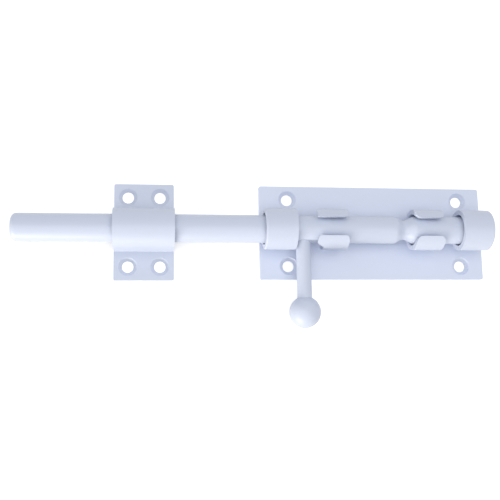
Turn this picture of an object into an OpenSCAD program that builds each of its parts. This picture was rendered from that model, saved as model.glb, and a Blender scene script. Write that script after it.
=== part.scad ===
// Slide bolt latch: a round bolt in a windowed barrel on a base plate, with a ball handle and a keeper.
// X runs along the bolt with its tip at minus X, the handle hangs towards minus Y,
// Z is zero on the surface that the plates are screwed to and points away from it.
// The origin is the middle of the base plate's back face.

/* [Bolt rod] */
// Diameter of the bolt rod
rod_d = 12; // [8:0.5:14]
// Whole length of the bolt rod
rod_len = 203; // [190:1:215]
// Radius that rounds the bolt's tip
tip_round = 2.4; // [0.5:0.1:3.5]
// Chamfer on the rod's back end
rod_chamfer = 0.8; // [0.2:0.1:1.5]
// Distance from the rod's back end to the barrel's back end
back_gap = 4.1; // [1:0.1:10]
// Distance from the rod's back end to the middle of its waist
waist_from_end = 34.8; // [30:0.1:38]
// Depth of the waist turned into the rod
waist_depth = 1.7; // [0.5:0.1:2.5]
// Length of the waist, which slopes smoothly in from both sides
waist_len = 9.8; // [6:0.2:12]

/* [Barrel] */
// Length of the barrel from end to end
barrel_len = 101.2; // [98:0.2:106]
// Wall of the barrel's tube
barrel_wall = 2; // [1.2:0.1:2.5]
// How much wider the bore is than the rod
rod_play = 1.9; // [1.2:0.1:3]
// Gap that is left under the rod, where it lies in the bore
rod_seat_gap = 0.3; // [0.2:0.05:0.5]
// Depth of the flat on the barrel's back, which seats on the plate
back_flat = 0.2; // [0.1:0.05:0.4]
// Rounding of the rims at the barrel's two ends
rim_round = 0.6; // [0.2:0.1:0.9]
// Length of each closed collar at the barrel's ends
collar_len = 13.6; // [8:0.1:16]
// Length of the two tabs next to the locked position
lock_tab_len = 13.9; // [8:0.1:16]
// Length of the two tabs next to the open position
park_tab_len = 12.9; // [8:0.1:16]
// How much longer the two end windows are than the stem is thick
window_play = 2.2; // [1:0.1:4]
// How much wider the front slot is than the stem is thick
slot_play = 1.7; // [0.8:0.1:3]
// Height of the windows' floor above the plate
window_floor = 1.4; // [1:0.1:1.7]
// Length of the pocket behind the locked handle, under the tabs' hooks
hook_len = 3.2; // [1:0.1:4.5]
// Height over which the hook slopes out to its full length
hook_slope = 2.6; // [1:0.1:3.5]
// Height of the tabs' rounded corners, measured across the barrel
tab_corner_y = 2.7; // [1:0.1:3.2]
// Length of the corner on the locked tabs, next to the handle
lock_corner_a = 1.2; // [0.5:0.1:4]
// Length of the corner on the locked tabs, next to the middle window
lock_corner_b = 1.8; // [0.5:0.1:4]
// Length of the corner on the open position's tabs, next to the middle window
park_corner_a = 2.2; // [0.5:0.1:4]
// Length of the corner on the open position's tabs, next to the end window
park_corner_b = 2.6; // [0.5:0.1:4]

/* [Weld beads] */
// Angle round the barrel from its back to the top of each bead
bead_angle = 35.5; // [28:0.5:42]
// How far each bead's foot reaches out past its top
bead_foot = 1.2; // [0.6:0.1:2]
// Bare length that is left at each end of a bead
bead_inset = 1; // [0.4:0.1:3]

/* [Base plate] */
// Length of the base plate
plate_len = 102.6; // [100:0.2:110]
// Width of the base plate
plate_w = 42; // [38:0.5:50]
// Thickness of the base plate
plate_t = 2; // [1.5:0.1:3]
// Radius of the base plate's corners
plate_corner = 0.8; // [0.2:0.1:4]
// Distance between screw holes along the base plate
plate_hole_x = 79.6; // [70:0.2:88]
// Distance between screw holes across the base plate
plate_hole_y = 30; // [29:0.2:31]
// How far the screw pattern sits off the plate's middle, towards the back collar
plate_hole_shift = 1.2; // [0:0.1:2]

/* [Screw holes] */
// Diameter of the screw holes
screw_d = 5; // [3.5:0.1:5.6]
// Diameter of the countersinks at the front face
sink_d = 8; // [6.5:0.1:8.4]

/* [Keeper] */
// Distance from the base plate's middle to the keeper's middle
keeper_x = 102; // [85:0.5:120]
// Length of the keeper along the bolt
keeper_len = 25.8; // [24:0.2:32]
// Width of the keeper across the bolt
keeper_w = 42.3; // [40:0.1:50]
// Thickness of the keeper's sheet
keeper_t = 1.5; // [1.2:0.1:2.4]
// Inside radius of the bends between the arch and the flanges
keeper_bend = 0.4; // [0.2:0.1:1.2]
// Radius of the keeper's corners
keeper_corner = 0.6; // [0.2:0.1:3]
// Distance between screw holes along the keeper
keeper_hole_x = 13.8; // [12:0.2:15]
// Distance between screw holes across the keeper
keeper_hole_y = 30.6; // [30:0.1:31.2]

/* [Handle] */
// Diameter of the handle's stem
stem_d = 6.4; // [5:0.1:7.5]
// Gap between the stem and the barrel's front collar when locked
stem_gap = 0.3; // [0.2:0.05:0.6]
// Running gap between the stem's saddle and the rod
saddle_gap = 0.05; // [0.03:0.01:0.1]
// Diameter of the handle's ball
ball_d = 13.6; // [11:0.1:16]
// Distance from the rod's axis to the ball's centre
ball_reach = 36; // [30:0.5:45]
// Depth of the stem's socket in the ball
socket_depth = 5.5; // [3:0.1:6]
// Gap round the stem in the ball's socket
socket_gap = 0.05; // [0.02:0.01:0.1]

/* [Hidden] */
$fn = 96;

// Little extra length by which a cutting shape runs past what it cuts
cut = 1;

rod_r = rod_d / 2;
bore_r = (rod_d + rod_play) / 2;
barrel_r = bore_r + barrel_wall;

// Height of the barrel's axis and, a little lower, of the rod that lies in it
axis_z = plate_t + barrel_r - back_flat;
rod_z = axis_z - (bore_r - rod_r - rod_seat_gap);

// Places along the barrel, from the collar on the bolt's side to the back collar
barrel_x = barrel_len / 2;
mouth_x = barrel_x - collar_len;
window_len = stem_d + window_play;
lock_tab_x0 = -mouth_x + window_len;
lock_tab_x1 = lock_tab_x0 + lock_tab_len;
park_tab_x1 = mouth_x - window_len;
park_tab_x0 = park_tab_x1 - park_tab_len;
slot_w = stem_d + slot_play;
floor_z = plate_t + window_floor;
top_z = axis_z + barrel_r + cut;

// Places along the rod and of the handle
rod_x1 = barrel_x - back_gap;
rod_x0 = rod_x1 - rod_len;
waist_x = rod_x1 - waist_from_end;
stem_x = -mouth_x + stem_gap + stem_d / 2;
stem_end = ball_reach - ball_d / 2 + socket_depth;
hook_z = rod_z + stem_d / 2 + stem_gap;

steel = [0.82, 0.86, 0.93];
steel_dark = [0.76, 0.80, 0.88];

// A flat rectangle with round corners, centred
module round_rect(l, w, r) {
    square([l - 2 * r, w], center = true);
    square([l, w - 2 * r], center = true);
    for (sx = [-1, 1], sy = [-1, 1])
        translate([sx * (l / 2 - r), sy * (w / 2 - r)]) circle(r);
}

// The four countersunk screw holes of one sheet of thickness t
module screw_holes(dx, dy, t) {
    sink_h = min((sink_d - screw_d) / 2, t - 0.3);
    for (sx = [-1, 1], sy = [-1, 1])
        translate([sx * dx / 2, sy * dy / 2, 0]) {
            translate([0, 0, -cut]) cylinder(d = screw_d, h = t + 2 * cut);
            translate([0, 0, t - sink_h]) cylinder(d1 = screw_d, d2 = sink_d, h = sink_h);
            translate([0, 0, t]) cylinder(d = sink_d, h = cut);
        }
}

// Lays a shape that stands along Z down along X, starting at x
module along_x(x) {
    translate([x, 0, 0]) rotate([90, 0, 90]) children();
}

module base_plate() color(steel) {
    difference() {
        linear_extrude(plate_t) round_rect(plate_len, plate_w, plate_corner);
        translate([plate_hole_shift, 0, 0]) screw_holes(plate_hole_x, plate_hole_y, plate_t);
    }
}

// Section through the barrel's wall, from the bore outwards, with both end rims rounded
module barrel_section() {
    r = rim_round;
    translate([bore_r, r]) square([barrel_wall, barrel_len - 2 * r]);
    translate([bore_r, 0]) square([barrel_wall - r, barrel_len]);
    for (y = [r, barrel_len - r])
        translate([barrel_r - r, y]) circle(r, $fn = 32);
}

// One tab as the front view shows it, from x0 to x1, with rounded corners ca and cb long
module tab_outline(x0, x1, ca, cb) {
    y0 = slot_w / 2;
    y1 = barrel_r + 2 * cut;
    steps = 5;
    corner_a = [for (i = [0:steps]) let (a = 90 * i / steps)
        [x0 + ca * (1 - sin(a)), y0 + tab_corner_y * (1 - cos(a))]];
    corner_b = [for (i = [0:steps]) let (a = 90 * i / steps)
        [x1 - cb * (1 - cos(a)), y0 + tab_corner_y * (1 - sin(a))]];
    polygon(concat(corner_a, [[x0, y1], [x1, y1]], corner_b));
}

// What the front slot and the windows take away in front of the barrel's axis
module front_opening() {
    translate([0, 0, axis_z]) linear_extrude(top_z - axis_z) difference() {
        square([2 * mouth_x, 2 * (barrel_r + cut)], center = true);
        for (side = [0, 1]) mirror([0, side]) {
            tab_outline(lock_tab_x0, lock_tab_x1, lock_corner_a, lock_corner_b);
            tab_outline(park_tab_x0, park_tab_x1, park_corner_a, park_corner_b);
        }
    }
}

// One window between x0 and x1, cut from its floor up to the barrel's axis
module side_window(x0, x1) {
    translate([x0, -barrel_r - cut, floor_z])
        cube([x1 - x0, 2 * (barrel_r + cut), axis_z - floor_z]);
}

// The pocket under the hooks, where the locked handle lies out of line with the slot
module hook_pocket() {
    translate([0, barrel_r + cut, 0]) rotate([90, 0, 0]) linear_extrude(2 * (barrel_r + cut))
        polygon([
            [lock_tab_x0 - cut, floor_z],
            [lock_tab_x0 + hook_len, floor_z],
            [lock_tab_x0 + hook_len, hook_z],
            [lock_tab_x0, hook_z + hook_slope],
            [lock_tab_x0 - cut, hook_z + hook_slope]
        ]);
}

module barrel() color(steel) {
    difference() {
        translate([-barrel_x, 0, axis_z]) rotate([90, 0, 90]) rotate_extrude() barrel_section();
        front_opening();
        side_window(-mouth_x, lock_tab_x0);
        side_window(lock_tab_x1, park_tab_x0);
        side_window(park_tab_x1, mouth_x);
        hook_pocket();
        translate([-barrel_x - cut, -barrel_r, -cut])
            cube([barrel_len + 2 * cut, 2 * barrel_r, plate_t + cut]);
    }
}

// Section of one weld bead in the corner between the barrel and the plate
module bead_section() {
    top_y = barrel_r * sin(bead_angle);
    top_h = axis_z - barrel_r * cos(bead_angle);
    difference() {
        polygon([
            [barrel_r * sin(bead_angle) / 2, plate_t],
            [top_y + bead_foot, plate_t],
            [top_y + bead_foot * 0.75, plate_t + (top_h - plate_t) * 0.6],
            [top_y, top_h],
            [barrel_r * sin(bead_angle) / 2, top_h]
        ]);
        translate([0, axis_z]) circle(barrel_r);
    }
}

// A pair of beads from x0 to x1, one on each side of the barrel
module bead_pair(x0, x1) {
    for (side = [0, 1]) mirror([0, side, 0])
        along_x(x0 + bead_inset) linear_extrude(x1 - x0 - 2 * bead_inset) bead_section();
}

module barrel_welds() color(steel_dark) {
    bead_pair(-barrel_x, -mouth_x);
    bead_pair(lock_tab_x0 + hook_len, lock_tab_x1);
    bead_pair(park_tab_x0, park_tab_x1);
    bead_pair(mouth_x, barrel_x);
}

// What the waist takes out of the rod's section, with the rod's surface at zero
module waist_groove() {
    steps = 12;
    polygon(concat([[cut, -waist_len / 2], [cut, waist_len / 2]], [for (i = [steps:-1:-steps])
        [-waist_depth * (1 + cos(180 * i / steps)) / 2, i / steps * waist_len / 2]]));
}

// Half section of the rod, with its tip at zero
module rod_section() {
    r = tip_round;
    difference() {
        union() {
            square([rod_r - r, r]);
            translate([0, r]) square([rod_r, rod_len - r]);
            translate([rod_r - r, r]) circle(r, $fn = 48);
        }
        translate([-2 * r, -cut]) square([2 * r, rod_len]);
        translate([rod_r - rod_chamfer, rod_len])
            polygon([[0, 0], [rod_chamfer + cut, -rod_chamfer - cut], [rod_chamfer + cut, cut], [0, cut]]);
        translate([rod_r, waist_x - rod_x0]) waist_groove();
    }
}

module bolt_rod() color(steel) {
    translate([rod_x0, 0, rod_z]) rotate([90, 0, 90]) rotate_extrude() rod_section();
}

module handle_stem() color(steel) {
    difference() {
        translate([stem_x, 0, rod_z]) rotate([90, 0, 0]) cylinder(d = stem_d, h = stem_end);
        translate([stem_x - stem_d, 0, rod_z]) rotate([0, 90, 0])
            cylinder(r = rod_r + saddle_gap, h = 2 * stem_d);
    }
}

// Half section of the ball, with its centre at zero and its socket upwards
module ball_section() {
    socket_floor = ball_reach - stem_end - socket_gap;
    difference() {
        circle(d = ball_d);
        translate([-ball_d, -ball_d]) square([ball_d, 2 * ball_d]);
        translate([-cut, socket_floor]) square([stem_d / 2 + socket_gap + cut, ball_d]);
    }
}

module handle_ball() color(steel) {
    translate([stem_x, -ball_reach, rod_z]) rotate([-90, 0, 0]) rotate_extrude() ball_section();
}

// Section across the keeper: two flanges joined by a straight-sided arch in line with the barrel
module keeper_section() {
    arch_r = bore_r + keeper_t;
    outer_bend = keeper_bend + keeper_t;
    difference() {
        union() {
            translate([-keeper_w / 2, 0]) square([keeper_w, keeper_t]);
            translate([-arch_r, 0]) square([2 * arch_r, axis_z]);
            translate([0, axis_z]) circle(arch_r);
            for (side = [0, 1]) mirror([side, 0]) difference() {
                translate([arch_r - cut, keeper_t - cut])
                    square([keeper_bend + cut, keeper_bend + cut]);
                translate([arch_r + keeper_bend, keeper_t + keeper_bend]) circle(keeper_bend);
            }
        }
        translate([-bore_r, -cut]) square([2 * bore_r, axis_z + cut]);
        translate([0, axis_z]) circle(bore_r);
        for (side = [0, 1]) mirror([side, 0]) difference() {
            translate([bore_r - cut, -cut]) square([outer_bend + cut, outer_bend + cut]);
            translate([bore_r + outer_bend, outer_bend]) circle(outer_bend);
        }
    }
}

module keeper() color(steel) {
    translate([-keeper_x, 0, 0]) difference() {
        intersection() {
            along_x(-keeper_len / 2) linear_extrude(keeper_len) keeper_section();
            linear_extrude(top_z) round_rect(keeper_len, keeper_w, keeper_corner);
        }
        screw_holes(keeper_hole_x, keeper_hole_y, keeper_t);
    }
}

base_plate();
barrel();
barrel_welds();
bolt_rod();
handle_stem();
handle_ball();
keeper();
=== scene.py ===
import bpy
from mathutils import Matrix, Vector

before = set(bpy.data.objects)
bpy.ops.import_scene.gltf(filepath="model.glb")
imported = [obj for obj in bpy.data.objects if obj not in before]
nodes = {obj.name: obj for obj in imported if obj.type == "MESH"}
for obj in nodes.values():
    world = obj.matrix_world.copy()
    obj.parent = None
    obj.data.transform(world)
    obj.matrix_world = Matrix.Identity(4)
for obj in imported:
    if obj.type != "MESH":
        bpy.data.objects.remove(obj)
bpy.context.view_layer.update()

MM = 0.001
IMAGE_PX = 500
SENSOR_MM = 36.0

# Pinhole camera, fitted to the latch's own edges, in pixels, radians and millimetres.
# It is placed from the middle of the base plate's front face.
FOCAL_PX = 749.0
TURN_X, TURN_Y, TURN_Z = -0.16227, 0.13134, -0.00422
OFFSET_X_MM, OFFSET_Y_MM, DISTANCE_MM = 55.11, 7.54, 338.41
PLATE_MM = 2.0
CLIP_NEAR, CLIP_FAR = 0.01, 10

# Colours in linear light. The keeper, tube, bar and handle take a darker copy of the plate's colour;
# the darkening is painted shade for the weaker light on their round faces, as all the pieces wear
# one coat.
WHITE = (1.0, 1.0, 1.0)
PALE_PLATE = (0.635, 0.69, 0.83)
PALE_PAINTED_SHADE = (0.567, 0.618, 0.743)

# What the pieces' coats share. The tone runs TONE_SPREAD of the colour below and above it.
PAINT_IOR = 1.5
CLEAR_WEIGHT = 0.12
CLEAR_ROUGHNESS = 0.38
TONE_SPREAD = 0.1
PEEL_BUMP = 0.25
PEEL_DEPTH = 0.04 * MM

# Orange peel and the slower drift of tone and gloss: waves per metre and noise octaves
PEEL_WAVES, PEEL_DETAIL = 900.0, 2.0
DRIFT_WAVES, DRIFT_DETAIL = 45.0, 3.0
HALF = 0.5

# The grain's inputs, where a coat doesn't change them
GRAIN_VALUES = {"Peel Size": 1.0, "Peel Height": 1.0, "Tone Range": 0.1, "Gloss Range": 0.12}

# Each coat's colour, roughness and what it changes in the grain. The keeper, tube, bar and handle
# coats carry the painted shade.
COATS = {
    "sheet_coat": (PALE_PLATE, 0.42, {}),
    "keeper_coat": (PALE_PAINTED_SHADE, 0.46, {}),
    "tube_coat": (PALE_PAINTED_SHADE, 0.44, {}),
    "bar_coat": (PALE_PAINTED_SHADE, 0.44, {"Peel Size": 1.3}),
    "handle_coat": (PALE_PAINTED_SHADE, 0.46, {"Peel Size": 1.2}),
    "weld_coat": (PALE_PLATE, 0.5, {"Peel Size": 0.6, "Peel Height": 3.0}),
}
COAT_OF = {
    "base_plate": "sheet_coat",
    "keeper": "keeper_coat",
    "barrel": "tube_coat",
    "barrel_welds": "weld_coat",
    "bolt_rod": "bar_coat",
    "handle_stem": "handle_coat",
    "handle_ball": "handle_coat",
}

# The floor lies a hair under the plates' backs, and glows only for the camera and reflections
FLOOR_SIZE = 6.0
FLOOR_Z = -0.2 * MM
FLOOR_TONE = 0.8
FLOOR_GLOW = 0.46

# The sky's light on the latch, and the white behind it that the camera and reflections see
SKY_TINT, SKY_LIGHT = (0.97, 0.98, 1.0), 0.62
SKY_WHITE = 0.97

# Lamps: name, place, width, height, watts, colour. All aim at the middle of the latch.
LATCH_MIDDLE = (-0.05, 0.0, 0.0)
LAMPS = (
    ("low_side", (-0.44, -0.60, 0.03), 0.5, 0.06, 4.0, (1.0, 0.94, 0.85)),
    ("above", (-0.05, -0.02, 0.66), 0.8, 0.6, 2.05, WHITE),
)


def opaque(colour):
    return tuple(colour) + (1.0,)


def calculate(tree, operation, *values):
    """One Math node. Each value is a number, or the socket that it comes from."""
    node = tree.nodes.new("ShaderNodeMath")
    node.operation = operation
    for socket, value in zip(node.inputs, values):
        if isinstance(value, bpy.types.NodeSocket):
            tree.links.new(value, socket)
        else:
            socket.default_value = value
    return node.outputs[0]


def noise(tree, place, waves, detail):
    """A noise texture on Object coordinates."""
    node = tree.nodes.new("ShaderNodeTexNoise")
    node.inputs["Detail"].default_value = detail
    tree.links.new(place.outputs["Object"], node.inputs["Vector"])
    if isinstance(waves, bpy.types.NodeSocket):
        tree.links.new(waves, node.inputs["Scale"])
    else:
        node.inputs["Scale"].default_value = waves
    return node.outputs["Fac"]


def coat_grain_group():
    """Fine orange peel, and a slow drift of tone and gloss, over a sprayed coat."""
    group = bpy.data.node_groups.new("coat_grain", "ShaderNodeTree")
    for name, value in GRAIN_VALUES.items():
        socket = group.interface.new_socket(name=name, in_out="INPUT", socket_type="NodeSocketFloat")
        socket.default_value = value
    for name in ("Height", "Tone", "Gloss"):
        group.interface.new_socket(name=name, in_out="OUTPUT", socket_type="NodeSocketFloat")
    given, out = group.nodes.new("NodeGroupInput"), group.nodes.new("NodeGroupOutput")
    place = group.nodes.new("ShaderNodeTexCoord")

    peel_waves = calculate(group, "DIVIDE", PEEL_WAVES, given.outputs["Peel Size"])
    peel = noise(group, place, peel_waves, PEEL_DETAIL)
    height = calculate(group, "MULTIPLY", peel, given.outputs["Peel Height"])
    group.links.new(height, out.inputs["Height"])

    drift = noise(group, place, DRIFT_WAVES, DRIFT_DETAIL)
    for name, span in (("Tone", "Tone Range"), ("Gloss", "Gloss Range")):
        centred = calculate(group, "SUBTRACT", drift, HALF)
        change = calculate(group, "MULTIPLY", centred, given.outputs[span])
        group.links.new(change, out.inputs[name])
    return group


def sprayed_coat(name, colour, rough, grain_group, grain_changes):
    """Satin sprayed or dipped coat over steel."""
    mat = bpy.data.materials.new(name)
    mat.use_nodes = True
    tree = mat.node_tree
    tree.nodes.clear()
    new, link = tree.nodes.new, tree.links.new
    out, shader = new("ShaderNodeOutputMaterial"), new("ShaderNodeBsdfPrincipled")
    link(shader.outputs["BSDF"], out.inputs["Surface"])
    for socket, value in (
        ("IOR", PAINT_IOR),
        ("Metallic", 0.0),
        ("Coat Weight", CLEAR_WEIGHT),
        ("Coat Roughness", CLEAR_ROUGHNESS),
    ):
        shader.inputs[socket].default_value = value

    grain = new("ShaderNodeGroup")
    grain.node_tree = grain_group
    for socket, value in {**GRAIN_VALUES, **grain_changes}.items():
        grain.inputs[socket].default_value = value

    shade = new("ShaderNodeMix")
    shade.data_type = "RGBA"
    shade.inputs["A"].default_value = opaque(c * (1 - TONE_SPREAD) for c in colour)
    shade.inputs["B"].default_value = opaque(c * (1 + TONE_SPREAD) for c in colour)
    link(calculate(tree, "ADD", grain.outputs["Tone"], HALF), shade.inputs["Factor"])
    link(shade.outputs["Result"], shader.inputs["Base Color"])

    link(calculate(tree, "ADD", grain.outputs["Gloss"], rough), shader.inputs["Roughness"])

    bump = new("ShaderNodeBump")
    bump.inputs["Strength"].default_value = PEEL_BUMP
    bump.inputs["Distance"].default_value = PEEL_DEPTH
    link(grain.outputs["Height"], bump.inputs["Height"])
    link(bump.outputs["Normal"], shader.inputs["Normal"])
    return mat


def dress(node, mat):
    obj = nodes[node]
    if not obj.material_slots:
        obj.data.materials.append(mat)
    for place in obj.material_slots:
        place.material = mat


def seen_or_reflected(tree, path):
    """1 for a ray from the camera or a reflection, 0 for light on the latch."""
    return calculate(tree, "MAXIMUM", path.outputs["Is Camera Ray"], path.outputs["Is Glossy Ray"])


def floor():
    bpy.ops.mesh.primitive_plane_add(size=FLOOR_SIZE, location=(0, 0, FLOOR_Z))
    obj = bpy.context.object
    obj.name = "floor"
    mat = bpy.data.materials.new("floor_white")
    mat.use_nodes = True
    tree = mat.node_tree
    tree.nodes.clear()
    new, link = tree.nodes.new, tree.links.new
    out, add = new("ShaderNodeOutputMaterial"), new("ShaderNodeAddShader")
    base, glow = new("ShaderNodeBsdfDiffuse"), new("ShaderNodeEmission")
    base.inputs["Color"].default_value = opaque((FLOOR_TONE,) * 3)
    seen = seen_or_reflected(tree, new("ShaderNodeLightPath"))
    link(calculate(tree, "MULTIPLY", seen, FLOOR_GLOW), glow.inputs["Strength"])
    link(base.outputs[0], add.inputs[0])
    link(glow.outputs[0], add.inputs[1])
    link(add.outputs[0], out.inputs["Surface"])
    obj.data.materials.append(mat)


def sky():
    world = bpy.data.worlds.new("studio")
    bpy.context.scene.world = world
    world.use_nodes = True
    tree = world.node_tree
    new, link = tree.nodes.new, tree.links.new
    light, out = tree.nodes["Background"], tree.nodes["World Output"]
    light.inputs["Color"].default_value = opaque(SKY_TINT)
    light.inputs["Strength"].default_value = SKY_LIGHT
    white, mix = new("ShaderNodeBackground"), new("ShaderNodeMixShader")
    white.inputs["Color"].default_value = opaque(WHITE)
    white.inputs["Strength"].default_value = SKY_WHITE
    path = new("ShaderNodeLightPath")
    seen = seen_or_reflected(tree, path)
    shows = calculate(tree, "MAXIMUM", seen, path.outputs["Is Transmission Ray"])
    link(shows, mix.inputs["Fac"])
    link(light.outputs[0], mix.inputs[1])
    link(white.outputs[0], mix.inputs[2])
    link(mix.outputs[0], out.inputs["Surface"])


def softbox(name, place, width, height, watts, colour):
    light = bpy.data.lights.new(name, "AREA")
    light.shape = "RECTANGLE"
    light.size, light.size_y = width, height
    light.energy, light.color = watts, colour
    obj = bpy.data.objects.new(name, light)
    obj.location = place
    obj.rotation_mode = "QUATERNION"
    aim = Vector(LATCH_MIDDLE) - Vector(place)
    obj.rotation_quaternion = aim.to_track_quat("-Z", "Y")
    obj.visible_camera = False
    bpy.context.scene.collection.objects.link(obj)


def camera():
    turn = (
        Matrix.Rotation(TURN_Z, 3, "Z")
        @ Matrix.Rotation(TURN_Y, 3, "Y")
        @ Matrix.Rotation(TURN_X, 3, "X")
    ).transposed()
    place = turn @ Vector((-OFFSET_X_MM, -OFFSET_Y_MM, DISTANCE_MM)) + Vector((0, 0, PLATE_MM))
    data = bpy.data.cameras.new("camera")
    data.sensor_width = SENSOR_MM
    data.lens = FOCAL_PX / IMAGE_PX * SENSOR_MM
    data.clip_start, data.clip_end = CLIP_NEAR, CLIP_FAR
    obj = bpy.data.objects.new("camera", data)
    obj.rotation_mode = "QUATERNION"
    obj.rotation_quaternion = turn.to_quaternion()
    obj.location = place * MM
    bpy.context.scene.collection.objects.link(obj)
    bpy.context.scene.camera = obj


grain_group = coat_grain_group()
coats = {
    name: sprayed_coat(name, colour, rough, grain_group, grain_changes)
    for name, (colour, rough, grain_changes) in COATS.items()
}
for node, coat in COAT_OF.items():
    dress(node, coats[coat])

floor()
sky()
for lamp in LAMPS:
    softbox(*lamp)
camera()
bpy.context.scene.view_settings.view_transform = "Standard"
